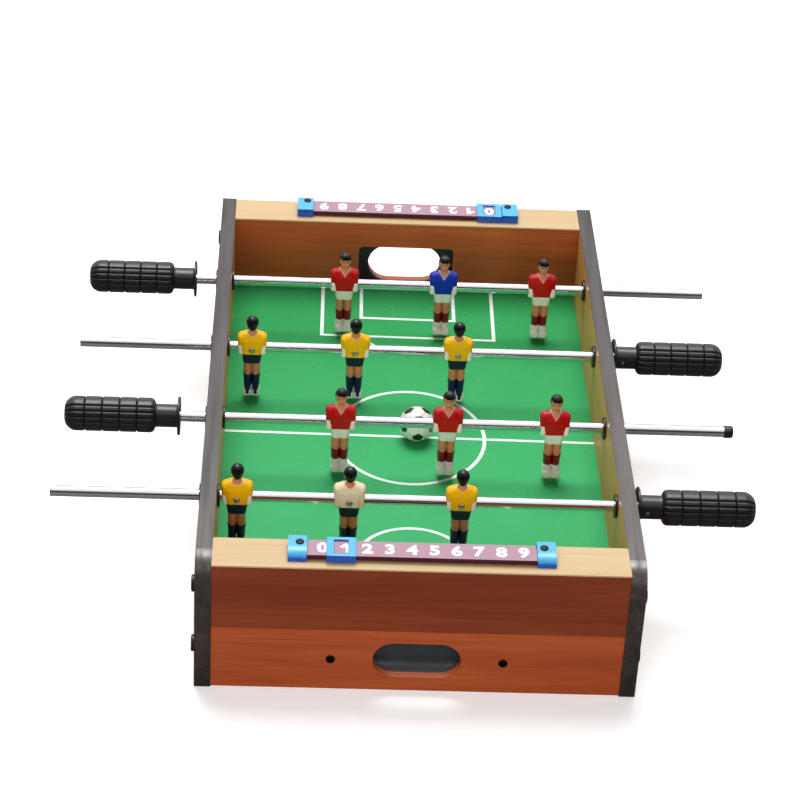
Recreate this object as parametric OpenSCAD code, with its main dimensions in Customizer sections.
// Tabletop foosball: a low wooden cabinet with four sliding, spinning rods and twelve players.
// Millimetres. +Z is up, X runs across the table, along the rods, and Y runs from goal to goal.
// The origin is the centre of the cabinet's footprint, on the surface that it stands on.

/* [Cabinet] */
// Outside length, goal end to goal end
cabinet_length = 512; // [490:2:540]
// Outside width, side panel to side panel
cabinet_width = 310; // [300:1:330]
// Height of the side panels
side_height = 105.5; // [102:0.5:112]
// Thickness of each side panel
side_thickness = 11.5; // [9:0.5:14]
// Radius of the side panels' upper front corners
corner_radius = 20; // [8:1:30]
// Thickness of the strip that covers a side panel's edge
band_thickness = 1.2; // [0.6:0.1:2]
// Height of the rails that close the end boxes
rail_height = 105.2; // [104:0.2:105.4]
// Thickness of a rail where it covers the end boards
rail_thickness = 1.2; // [0.8:0.2:3]
// Depth of the hollow box at each goal end
end_depth = 32; // [32:1:40]
// How far an end box stands back from the ends of the side panels
end_inset = 1.5; // [0:0.5:4]
// Thickness of the end boxes' boards
board_thickness = 6; // [4:0.5:8]

/* [Playfield] */
// Height of the playing surface
playfield_top = 41; // [38:0.5:44]
// Thickness of the playfield board
playfield_thickness = 3; // [2:0.5:4]
// Depth of the groove that holds the board in each side panel
groove_depth = 2; // [1:0.5:4]
// Diameter of the ball
ball_diameter = 27; // [22:0.5:28]
// Distance of the resting ball from the middle of the table
ball_x = 4.5; // [0:0.5:6]

/* [Goals] */
// Width of the goal mouth
mouth_width = 79; // [60:1:100]
// Height of the top of the goal mouth
mouth_top = 82; // [74:1:90]
// Width of the ball outlet in an end
outlet_width = 61.8; // [50:0.2:80]
// Height of the front ball outlet
front_outlet_height = 29.6; // [28:0.2:32]
// Height of the rear ball outlet
rear_outlet_height = 34.8; // [30:0.2:36]
// Height above the ground of the front outlet's middle
front_outlet_z = 26.6; // [24:0.2:34]
// Height above the ground of the rear outlet's middle
rear_outlet_z = 52.8; // [50:0.2:54]

/* [Rods] */
// Diameter of a rod
rod_diameter = 8; // [6:0.5:10]
// Height of the rods' axes
rod_height = 89; // [86:0.5:92]
// Distance between neighbouring rods
rod_spacing = 100; // [98:1:102]
// Distance between neighbouring players on a rod
player_spacing = 80.3; // [76:0.1:84]
// Distance from the middle player to the free end of its rod, from the rear rod to the front rod
free_end = [211.5, 213.5, 215, 213.5]; // [210:0.5:216]
// Where each rod's middle player rests, from the rear rod to the front rod
rod_shift = [28, -44, 25, -49]; // [-49:0.5:49]
// Distance from the middle player to the handle's inner face, from the rear rod to the front rod
handle_seat = [200, 201.5, 200, 206.5]; // [200:0.5:208]

/* [Score counters] */
// Length of a counter over its end blocks
counter_length = 184; // [170:1:200]
// Where the front counter's slider rests
front_score_x = -55.5; // [-68:0.5:68]
// Where the rear counter's slider rests
rear_score_x = 68.3; // [-68:0.1:68.5]

/* [Hidden] */
$fn = 64;
// Radial gap of a running fit, and a small gap between fixed pieces
running_gap = 0.05;
seat_gap = 0.1;
cut = 1;

half_length = cabinet_length / 2;
half_width = cabinet_width / 2;
inner_x = half_width - side_thickness;
end_outer_y = half_length - end_inset;
end_inner_y = end_outer_y - end_depth;
end_mid_y = end_outer_y - end_depth / 2;
outer_board_y = end_outer_y - board_thickness;
inner_board_y = end_inner_y + board_thickness;
board_top = rail_height - rail_thickness;
rail_core = 6;
front_outlet = [front_outlet_z, front_outlet_height];
rear_outlet = [rear_outlet_z, rear_outlet_height];

screw_hole_radius = 2.05;
panel_screw_zs = [25, 77.5];
panel_screw_length = 28;
panel_head_radius = 4;
panel_head_height = 1.6;
cap_radius = 6;
cap_height = 2.7;
cap_edge_radius = 1;
block_size = 20;
block_gap = 2;

pocket_screw_x = 60.25;
pocket_screw_radius = 1.5;
pocket_head_radius = 3.2;
pocket_head_height = 2;
pocket_screw_length = 10;
pocket_boss_radius = 3.5;
pocket_boss_length = 5;
pocket_wall = 1.8;
pocket_half_width = mouth_width / 2 + 3;
pocket_top = mouth_top + 2;
pocket_plate_half_width = 67;
largest_scoop_radius = 14;

bearing_radius = 6;
bearing_flange_radius = 8.5;
bearing_flange = 2;
bearing_proud = 1.3;
collar_radius = 8;

rod_radius = rod_diameter / 2;
rod_wall = 1;
rod_in_handle = 70;
rod_bore_radius = rod_radius + running_gap;
end_cap_radius = 4.7;
end_cap_length = 7;
end_cap_web = 1;
end_cap_round = 2;
plug_rim = 0.8;
plug_length = 6;

handle_flange_radius = 14.5;
handle_flange = 1.8;
neck_radius = 8.65;
neck_end = 18.5;
grip_radius = 13;
handle_length = 86;
grip_end_radius = 9;
grip_shoulder_radius = 4;
ring_grooves = 4;
first_ring_groove = 32;
ring_groove_step = 12.9;
groove_size = 1.8;
pad_angle = 56;
ribs_per_side = 6;
rib_angle = (180 - pad_angle) / ribs_per_side;
set_screw_x = 7.5;
set_screw_radius = 1.5;
set_screw_length = 4.5;

player_screw_radius = 1.5;
player_screw_head = 2.4;
player_screw_head_height = 1.8;
player_screw_front = 4.8;
player_back = 6.4;

bar_depth = 17.6;
bar_gap = 0.8;
bar_height = 4;
front_counter_y = 237.3;
rear_counter_y = 239.6;
end_block_width = 13;
end_block_depth = 21;
end_block_height = 7;
// How far a block's rounded upper edge reaches back and down
front_block_round = [9, 6];
rear_block_round = [1, 1];
// Length and depth of the tongues that hold the bar in its end blocks
bar_tongue = [2, 10];
slider_width = 20.4;
slider_depth = 21.8;
slider_height = 6.2;
slider_lift = 0.2;
slider_window = [9.8, 15.5];
score_screw_radius = 1.5;
score_screw_head = 2.9;
score_screw_head_height = 1.2;
score_screw_length = 12;
// How far the screws stand from a block's outer end
score_screw_inset = 8.1;
score_screw_x = counter_length / 2 - score_screw_inset;
// How far the screws stand from a counter's middle line, towards the table
front_score_screw_y = 2.8;
rear_score_screw_y = -4.4;
counter_inner = counter_length / 2 - end_block_width;

rods = [1, 2, 3, 4];
// One rod has a cap over its free end; the others have a plug inside it
capped_rod = 3;
// A rod with its handle on the left is the same assembly, turned half a turn about Z
handle_on_left = [true, false, true, false];
function rod_y(number) = (2.5 - number) * rod_spacing;

// ---- small shapes that several pieces use ----

module along_x(radius, length) {
    rotate([0, 90, 0]) cylinder(r = radius, h = length);
}

module along_y(radius, length) {
    rotate([-90, 0, 0]) cylinder(r = radius, h = length);
}

// A block given by its lowest and highest corners
module block(low, high) {
    translate(low) cube(high - low);
}

module both_sides() {
    for (side = [0, 1]) mirror([side, 0, 0]) children();
}

module both_ends() {
    for (end = [0, 1]) mirror([0, end, 0]) children();
}

// Puts a shape, drawn for the front end, at the rear end
module at_rear() {
    mirror([0, 1, 0]) children();
}

// ---- cabinet ----

// Outline of a side panel, seen along X, shrunk by inset: rounded at the front, square at the rear
module side_outline(inset) {
    radius = corner_radius - inset;
    reach = half_length - inset;
    top = side_height - inset;
    translate([-reach, 0]) square([2 * reach, top - radius]);
    translate([-reach + radius, 0]) square([2 * reach - radius, top]);
    translate([-reach + radius, top - radius]) circle(r = radius, $fn = 96);
}

// Extrudes a shape, drawn in Y and Z, across a side panel
module across_side_panel() {
    translate([inner_x, 0, 0]) rotate([90, 0, 90]) linear_extrude(side_thickness) children();
}

module side_panel() {
    color("sienna") difference() {
        across_side_panel() side_outline(band_thickness);
        block(
            [inner_x - cut, -end_inner_y, playfield_top - playfield_thickness - seat_gap],
            [inner_x + groove_depth, end_inner_y, playfield_top + seat_gap]
        );
        for (number = rods) {
            translate([inner_x - cut, rod_y(number), rod_height])
                along_x(bearing_radius + seat_gap, side_thickness + 2 * cut);
        }
        both_ends() for (z = panel_screw_zs) {
            translate([inner_x - cut, end_mid_y, z]) along_x(screw_hole_radius, side_thickness + 2 * cut);
        }
    }
}

module left_side_panel() {
    mirror([1, 0, 0]) side_panel();
}

module right_side_panel() {
    side_panel();
}

module edge_band() {
    color("dimgray") across_side_panel() difference() {
        side_outline(0);
        side_outline(band_thickness);
        translate([-half_length, -cut]) square([cabinet_length, cut]);
    }
}

module left_edge_band() {
    mirror([1, 0, 0]) edge_band();
}

module right_edge_band() {
    edge_band();
}

// Rounded slot for the ball, cut along Y from y. An outlet is [height of its middle, its height].
module outlet_cut(y, depth, outlet) {
    radius = outlet[1] / 2;
    reach = outlet_width / 2 - radius;
    for (side = [-1, 1]) translate([side * reach, y, outlet[0]]) along_y(radius, depth);
    block([-reach, y, outlet[0] - radius], [reach, y + depth, outlet[0] + radius]);
}

module outer_board(outlet) {
    color("saddlebrown") difference() {
        block([-inner_x, -end_outer_y, 0], [inner_x, -outer_board_y, board_top]);
        outlet_cut(-end_outer_y - cut, board_thickness + 2 * cut, outlet);
        for (side = [-1, 1]) {
            translate([side * pocket_screw_x, -end_outer_y - cut, outlet[0]])
                along_y(pocket_screw_radius + running_gap, board_thickness + 2 * cut);
        }
    }
}

module front_outer_board() {
    outer_board(front_outlet);
}

module rear_outer_board() {
    at_rear() outer_board(rear_outlet);
}

module inner_board() {
    mouth_corner = 4;
    color("sienna") difference() {
        block([-inner_x, -inner_board_y, 0], [inner_x, -end_inner_y, board_top]);
        translate([0, -inner_board_y - cut, 0]) {
            block(
                [-mouth_width / 2, 0, playfield_top],
                [mouth_width / 2, board_thickness + 2 * cut, mouth_top - mouth_corner]
            );
            block(
                [-mouth_width / 2 + mouth_corner, 0, playfield_top],
                [mouth_width / 2 - mouth_corner, board_thickness + 2 * cut, mouth_top]
            );
            for (side = [-1, 1]) {
                translate([side * (mouth_width / 2 - mouth_corner), 0, mouth_top - mouth_corner])
                    along_y(mouth_corner, board_thickness + 2 * cut);
            }
        }
    }
}

module front_inner_board() {
    inner_board();
}

module rear_inner_board() {
    at_rear() inner_board();
}

// A thin top over both end boards, with a thicker core between them that takes the counter's screws
module top_rail(screw_y) {
    color("burlywood") difference() {
        union() {
            block([-inner_x, -end_outer_y, board_top], [inner_x, -end_inner_y, rail_height]);
            block([-inner_x, -outer_board_y, board_top - rail_core], [inner_x, -inner_board_y, rail_height]);
        }
        both_sides() translate([score_screw_x, screw_y, board_top - rail_core - cut])
            cylinder(r = score_screw_radius + running_gap, h = rail_core + rail_thickness + 2 * cut);
    }
}

module front_top_rail() {
    top_rail(front_score_screw_y - front_counter_y);
}

module rear_top_rail() {
    rotate([0, 0, 180]) top_rail(rear_score_screw_y - rear_counter_y);
}

module playfield_board() {
    reach = inner_x + groove_depth - seat_gap;
    color("seagreen") block(
        [-reach, -end_inner_y + seat_gap, playfield_top - playfield_thickness],
        [reach, end_inner_y - seat_gap, playfield_top]
    );
}

// Wooden blocks inside the end boxes, which hold the screws from the side panels
module corner_blocks() {
    color("tan") both_ends() both_sides() difference() {
        block(
            [inner_x - block_size, -outer_board_y, block_gap],
            [inner_x, -inner_board_y, board_top - rail_core - block_gap]
        );
        for (z = panel_screw_zs) {
            translate([inner_x - block_size - cut, -end_mid_y, z])
                along_x(screw_hole_radius, block_size + 2 * cut);
        }
    }
}

module panel_screws() {
    color("silver") both_ends() both_sides() for (z = panel_screw_zs) {
        translate([half_width - panel_screw_length, end_mid_y, z]) {
            along_x(screw_hole_radius - running_gap, panel_screw_length);
            translate([panel_screw_length, 0, 0]) along_x(panel_head_radius, panel_head_height);
        }
    }
}

// Plastic caps with a rounded edge, which hide the heads of the panel screws
module screw_cap() {
    difference() {
        rotate_extrude() {
            square([cap_radius - cap_edge_radius, cap_height]);
            square([cap_radius, cap_height - cap_edge_radius]);
            translate([cap_radius - cap_edge_radius, cap_height - cap_edge_radius])
                circle(r = cap_edge_radius);
        }
        translate([0, 0, -cut])
            cylinder(r = panel_head_radius + running_gap, h = cut + panel_head_height + running_gap);
    }
}

module screw_caps() {
    color("black") both_ends() both_sides() for (z = panel_screw_zs) {
        translate([half_width, end_mid_y, z]) rotate([0, 90, 0]) screw_cap();
    }
}

// ---- goal pockets ----

// One moulding: a plate behind the outlet, two cheeks, and a floor that curves up to the playfield
module goal_pocket(outlet) {
    floor_z = outlet[0] - outlet[1] / 2;
    scoop_radius = min(largest_scoop_radius, playfield_top - floor_z);
    inner_y = -inner_board_y - seat_gap;
    plate_y = -outer_board_y + pocket_wall;
    color([0.12, 0.12, 0.12]) difference() {
        union() {
            block(
                [-pocket_plate_half_width, -outer_board_y, floor_z - pocket_wall],
                [pocket_plate_half_width, plate_y, pocket_top]
            );
            block(
                [-pocket_half_width, plate_y, floor_z - pocket_wall],
                [pocket_half_width, inner_y, pocket_top]
            );
            for (side = [-1, 1]) translate([side * pocket_screw_x, plate_y, outlet[0]])
                along_y(pocket_boss_radius, pocket_boss_length);
        }
        difference() {
            block(
                [-pocket_half_width + pocket_wall, plate_y, floor_z],
                [pocket_half_width - pocket_wall, inner_y + cut, pocket_top + cut]
            );
            scoop(floor_z, scoop_radius, inner_y);
        }
        outlet_cut(-outer_board_y - cut, pocket_wall + 2 * cut, outlet);
        for (side = [-1, 1]) translate([side * pocket_screw_x, -outer_board_y - cut, outlet[0]])
            along_y(pocket_screw_radius + running_gap, pocket_boss_length + pocket_wall + 2 * cut);
    }
}

// The curved part of the floor, from the playfield's level down to the outlet
module scoop(floor_z, scoop_radius, inner_y) {
    reach = pocket_half_width;
    difference() {
        block([-reach, inner_y - pocket_wall - scoop_radius, floor_z - cut], [reach, inner_y, playfield_top]);
        translate([-reach - cut, inner_y - pocket_wall - scoop_radius, floor_z + scoop_radius])
            along_x(scoop_radius, 2 * (reach + cut));
        block(
            [-reach - cut, inner_y - pocket_wall - 2 * scoop_radius, floor_z + scoop_radius],
            [reach + cut, inner_y - pocket_wall, playfield_top + cut]
        );
    }
}

module front_goal_pocket() {
    goal_pocket(front_outlet);
}

module rear_goal_pocket() {
    at_rear() goal_pocket(rear_outlet);
}

module pocket_screw_pair(outlet) {
    for (side = [-1, 1]) translate([side * pocket_screw_x, -end_outer_y, outlet[0]]) {
        along_y(pocket_screw_radius, pocket_screw_length);
        translate([0, -pocket_head_height, 0]) along_y(pocket_head_radius, pocket_head_height);
    }
}

module pocket_screws() {
    color("black") {
        pocket_screw_pair(front_outlet);
        at_rear() pocket_screw_pair(rear_outlet);
    }
}

// ---- bearings ----

// A flanged sleeve, pushed into the right side panel from the inside
module bearing() {
    sleeve_length = side_thickness + bearing_proud;
    difference() {
        union() {
            along_x(bearing_radius, sleeve_length);
            translate([-bearing_flange, 0, 0]) along_x(bearing_flange_radius, bearing_flange);
        }
        translate([-bearing_flange - cut, 0, 0])
            along_x(rod_bore_radius, sleeve_length + bearing_flange + 2 * cut);
    }
}

module right_bearings() {
    color("black") for (number = rods) translate([inner_x, rod_y(number), rod_height]) bearing();
}

module left_bearings() {
    mirror([1, 0, 0]) right_bearings();
}

// Rings that hold the sleeves from the outside
module bearing_collars() {
    color("black") both_sides() for (number = rods) {
        translate([half_width, rod_y(number), rod_height]) difference() {
            along_x(collar_radius, bearing_proud);
            translate([-cut, 0, 0]) along_x(bearing_radius + running_gap, bearing_proud + 2 * cut);
        }
    }
}

// ---- score counters ----

// Draws a counter part in the counter's own frame, at the front or, turned round, at the rear
module at_front_counter() {
    translate([0, -front_counter_y, rail_height]) children();
}

module at_rear_counter() {
    rotate([0, 0, 180]) translate([0, -rear_counter_y, rail_height]) children();
}

// A block at the bar's height, given by how far it reaches each way along the bar and by its depth
module bar_block(reach, depth) {
    block([-reach, -depth / 2, bar_gap], [reach, depth / 2, bar_gap + bar_height]);
}

module score_bar() {
    color("mediumvioletred") {
        bar_block(counter_inner, bar_depth);
        bar_block(counter_inner + bar_tongue[0], bar_tongue[1]);
    }
}

// An end block: square towards the table's middle, with its upper edge rounded towards the scorer
module score_end_block(round, screw_y) {
    difference() {
        translate([counter_inner, 0, 0]) rotate([90, 0, 90]) linear_extrude(end_block_width) {
            corner_y = -end_block_depth / 2 + round[0];
            corner_z = end_block_height - round[1];
            translate([corner_y, 0]) square([end_block_depth - round[0], end_block_height]);
            intersection() {
                translate([-end_block_depth / 2, 0]) square([end_block_depth, end_block_height]);
                union() {
                    translate([corner_y, corner_z]) scale(round) circle(r = 1);
                    translate([-end_block_depth / 2, 0]) square([end_block_depth, corner_z]);
                }
            }
        }
        block(
            [counter_inner - cut, -bar_tongue[1] / 2 - seat_gap, bar_gap - seat_gap],
            [
                counter_inner + bar_tongue[0] + seat_gap,
                bar_tongue[1] / 2 + seat_gap,
                bar_gap + bar_height + seat_gap
            ]
        );
        translate([score_screw_x, screw_y, -cut])
            cylinder(r = score_screw_radius + running_gap, h = end_block_height + 2 * cut);
    }
}

module score_ends(round, screw_y) {
    color("dodgerblue") both_sides() score_end_block(round, screw_y);
}

module score_screw_pair(screw_y) {
    both_sides() translate([score_screw_x, screw_y, 0]) {
        translate([0, 0, end_block_height - score_screw_length])
            cylinder(r = score_screw_radius, h = score_screw_length);
        translate([0, 0, end_block_height]) cylinder(r = score_screw_head, h = score_screw_head_height);
    }
}

module score_screws() {
    color("black") {
        at_front_counter() score_screw_pair(front_score_screw_y);
        at_rear_counter() score_screw_pair(rear_score_screw_y);
    }
}

// A sleeve round the bar, with a window over one number
module score_slider() {
    color("deepskyblue") difference() {
        block(
            [-slider_width / 2, -slider_depth / 2, slider_lift],
            [slider_width / 2, slider_depth / 2, slider_height]
        );
        block(
            [-slider_width / 2 - cut, -bar_depth / 2 - seat_gap, bar_gap - seat_gap],
            [slider_width / 2 + cut, bar_depth / 2 + seat_gap, bar_gap + bar_height + seat_gap]
        );
        block(
            [-slider_window[0] / 2, -slider_window[1] / 2, bar_gap + bar_height],
            [slider_window[0] / 2, slider_window[1] / 2, slider_height + cut]
        );
    }
}

module front_score_bar() {
    at_front_counter() score_bar();
}

module rear_score_bar() {
    at_rear_counter() score_bar();
}

module front_score_ends() {
    at_front_counter() score_ends(front_block_round, front_score_screw_y);
}

module rear_score_ends() {
    at_rear_counter() score_ends(rear_block_round, rear_score_screw_y);
}

module front_score_slider() {
    at_front_counter() translate([front_score_x, 0, 0]) score_slider();
}

module rear_score_slider() {
    at_rear_counter() translate([-rear_score_x, 0, 0]) score_slider();
}

// ---- rods: each is drawn with its middle player at the origin and its handle towards +X ----

module at_rod(number) {
    turn = handle_on_left[number - 1] ? 180 : 0;
    translate([rod_shift[number - 1], rod_y(number), rod_height]) rotate([0, 0, turn]) children();
}

module rod(number) {
    tube_start = -free_end[number - 1] + (number == capped_rod ? end_cap_web : plug_rim);
    tube_length = handle_seat[number - 1] + rod_in_handle - tube_start;
    color("gainsboro") at_rod(number) difference() {
        translate([tube_start, 0, 0]) along_x(rod_radius, tube_length);
        translate([tube_start - cut, 0, 0]) along_x(rod_radius - rod_wall, tube_length + 2 * cut);
        for (place = [-1, 0, 1]) translate([place * player_spacing, -rod_radius - cut, 0])
            along_y(player_screw_radius + running_gap, rod_diameter + 2 * cut);
    }
}

// A cap pushed over the end of a rod, with its outer edge rounded
module end_cap(number) {
    color("black") at_rod(number) translate([-free_end[number - 1], 0, 0]) difference() {
        rotate([0, 90, 0]) rotate_extrude() {
            square([end_cap_radius - end_cap_round, end_cap_length]);
            translate([0, end_cap_round]) square([end_cap_radius, end_cap_length - end_cap_round]);
            translate([end_cap_radius - end_cap_round, end_cap_round]) circle(r = end_cap_round);
        }
        translate([end_cap_web, 0, 0]) along_x(rod_bore_radius, end_cap_length);
    }
}

// A plug that closes the tube of a rod, with a thin rim as wide as the rod
module end_plug(number) {
    color("gainsboro") at_rod(number) translate([-free_end[number - 1], 0, 0]) {
        along_x(rod_radius, plug_rim);
        along_x(rod_radius - rod_wall - running_gap, plug_length);
    }
}

// Half outline of the handle, turned about its axis: flange, neck and grip, without grooves
module handle_outline() {
    difference() {
        union() {
            square([handle_flange_radius, handle_flange]);
            square([neck_radius, neck_end + cut]);
            translate([0, neck_end]) square([grip_radius - grip_shoulder_radius, handle_length - neck_end]);
            translate([0, neck_end + grip_shoulder_radius]) square([
                grip_radius,
                handle_length - neck_end - grip_shoulder_radius - grip_end_radius
            ]);
            translate([grip_radius - grip_shoulder_radius, neck_end + grip_shoulder_radius])
                circle(r = grip_shoulder_radius);
            translate([0, handle_length - grip_end_radius])
                square([grip_radius - grip_end_radius, grip_end_radius]);
            translate([grip_radius - grip_end_radius, handle_length - grip_end_radius])
                circle(r = grip_end_radius);
        }
        for (ring = [0 : ring_grooves - 1]) {
            translate([grip_radius, first_ring_groove + ring * ring_groove_step])
                rotate(45) square(groove_size, center = true);
        }
        translate([-grip_radius, -cut]) square([grip_radius, handle_length + 2 * cut]);
    }
}

module handle(number) {
    groove_length = handle_length - neck_end + 2 * cut;
    color([0.15, 0.15, 0.16]) at_rod(number) translate([handle_seat[number - 1], 0, 0]) difference() {
        rotate([0, 90, 0]) rotate_extrude() handle_outline();
        translate([-cut, 0, 0]) along_x(rod_bore_radius, rod_in_handle + cut + seat_gap);
        for (half = [0, 180]) for (rib = [0 : ribs_per_side]) {
            rotate([half + pad_angle / 2 + rib * rib_angle, 0, 0])
                translate([neck_end - cut, 0, grip_radius])
                rotate([45, 0, 0])
                translate([0, -groove_size / 2, -groove_size / 2])
                cube([groove_length, groove_size, groove_size]);
        }
        translate([set_screw_x, -neck_radius - cut, 0])
            along_y(set_screw_radius + running_gap, neck_radius + cut);
    }
}

// The set screw that locks a handle to its rod
module handle_screw(number) {
    color("gray") at_rod(number)
        translate([handle_seat[number - 1] + set_screw_x, -rod_radius - running_gap - set_screw_length, 0])
        along_y(set_screw_radius, set_screw_length);
}

// ---- players: hanging from the rod's axis and facing +Y ----

// Half outline seen from the front: arms, shirt, shorts, legs and boots
function player_front() = [
    [0, -44], [6.4, -44], [6.4, -34], [5.8, -32], [6.4, -23], [7.2, -13],
    [8.2, -12.5], [8.7, -5], [11.2, -7], [11.9, -5], [12, 8], [10.5, 12.7], [7, 14.6], [0, 14.6]
];

// Outline seen from the side: boots, legs, belly, chest, shoulders, back
function player_side() = [
    [-5, -44], [6.5, -44], [6.8, -39], [4.5, -33], [4.3, -23], [5.2, -12],
    [6.4, -5], [6.6, 6], [5, 12.2], [2.5, 14.6], [-2.5, 14.6], [-5.5, 12.2], [-6.4, 6],
    [-6.4, -6], [-5.2, -13], [-4.4, -23], [-4.2, -32]
];

module player_shape() {
    reach = 20;
    throat_low = 13;
    throat_high = 18;
    throat_radius = 2.7;
    head_z = 21.3;
    head_radius = 4.4;
    jaw_radius = 3.9;
    jaw_forward = 0.5;
    head_stretch = 2.1;
    difference() {
        union() {
            intersection() {
                translate([0, reach, 0]) rotate([90, 0, 0]) linear_extrude(2 * reach) {
                    polygon(player_front());
                    mirror([1, 0]) polygon(player_front());
                }
                translate([-reach, 0, 0]) rotate([90, 0, 90]) linear_extrude(2 * reach)
                    polygon(player_side());
            }
            translate([0, 0, throat_low]) cylinder(r = throat_radius, h = throat_high - throat_low);
            translate([0, jaw_forward, head_z - head_stretch]) sphere(r = jaw_radius);
            for (rise = [0, head_stretch]) translate([0, 0, head_z + rise]) sphere(r = head_radius);
        }
        translate([-reach, 0, 0]) along_x(rod_bore_radius, 2 * reach);
        translate([0, -player_back - cut, 0])
            along_y(player_screw_radius + running_gap, player_back + cut + player_screw_front + seat_gap);
    }
}

module player(number, place, shirt) {
    turned = handle_on_left[number - 1] ? -1 : 1;
    color(shirt) at_rod(number) translate([turned * place * player_spacing, 0, 0]) player_shape();
}

module player_screws(number) {
    color("silver") at_rod(number) for (place = [-1, 0, 1]) {
        translate([place * player_spacing, -player_back, 0]) {
            along_y(player_screw_radius, player_back + player_screw_front);
            translate([0, -player_screw_head_height, 0])
                along_y(player_screw_head, player_screw_head_height);
        }
    }
}

module ball() {
    color("white") translate([ball_x, 0, playfield_top + ball_diameter / 2 + seat_gap])
        sphere(r = ball_diameter / 2, $fn = 96);
}

// ---- nodes ----

left_side_panel();
right_side_panel();
left_edge_band();
right_edge_band();
front_outer_board();
rear_outer_board();
front_inner_board();
rear_inner_board();
front_top_rail();
rear_top_rail();
playfield_board();
corner_blocks();
front_goal_pocket();
rear_goal_pocket();
pocket_screws();
panel_screws();
screw_caps();
left_bearings();
right_bearings();
bearing_collars();
front_score_bar();
rear_score_bar();
front_score_ends();
rear_score_ends();
score_screws();
front_score_slider();
rear_score_slider();
rod(1);  // rod_1
rod(2);  // rod_2
rod(3);  // rod_3
rod(4);  // rod_4
handle(1);  // handle_1
handle(2);  // handle_2
handle(3);  // handle_3
handle(4);  // handle_4
handle_screw(1);  // handle_screw_1
handle_screw(2);  // handle_screw_2
handle_screw(3);  // handle_screw_3
handle_screw(4);  // handle_screw_4
end_plug(1);  // end_plug_1
end_plug(2);  // end_plug_2
end_cap(3);  // end_cap_3
end_plug(4);  // end_plug_4
player_screws(1);  // player_screws_1
player_screws(2);  // player_screws_2
player_screws(3);  // player_screws_3
player_screws(4);  // player_screws_4
player(1, -1, "crimson");  // rear_left_defender
player(1, 0, "royalblue");  // rear_keeper
player(1, 1, "crimson");  // rear_right_defender
player(2, -1, "gold");  // yellow_left_forward
player(2, 0, "gold");  // yellow_middle_forward
player(2, 1, "gold");  // yellow_right_forward
player(3, -1, "crimson");  // red_left_forward
player(3, 0, "crimson");  // red_middle_forward
player(3, 1, "crimson");  // red_right_forward
player(4, -1, "gold");  // front_left_defender
player(4, 0, "linen");  // front_keeper
player(4, 1, "gold");  // front_right_defender
ball();
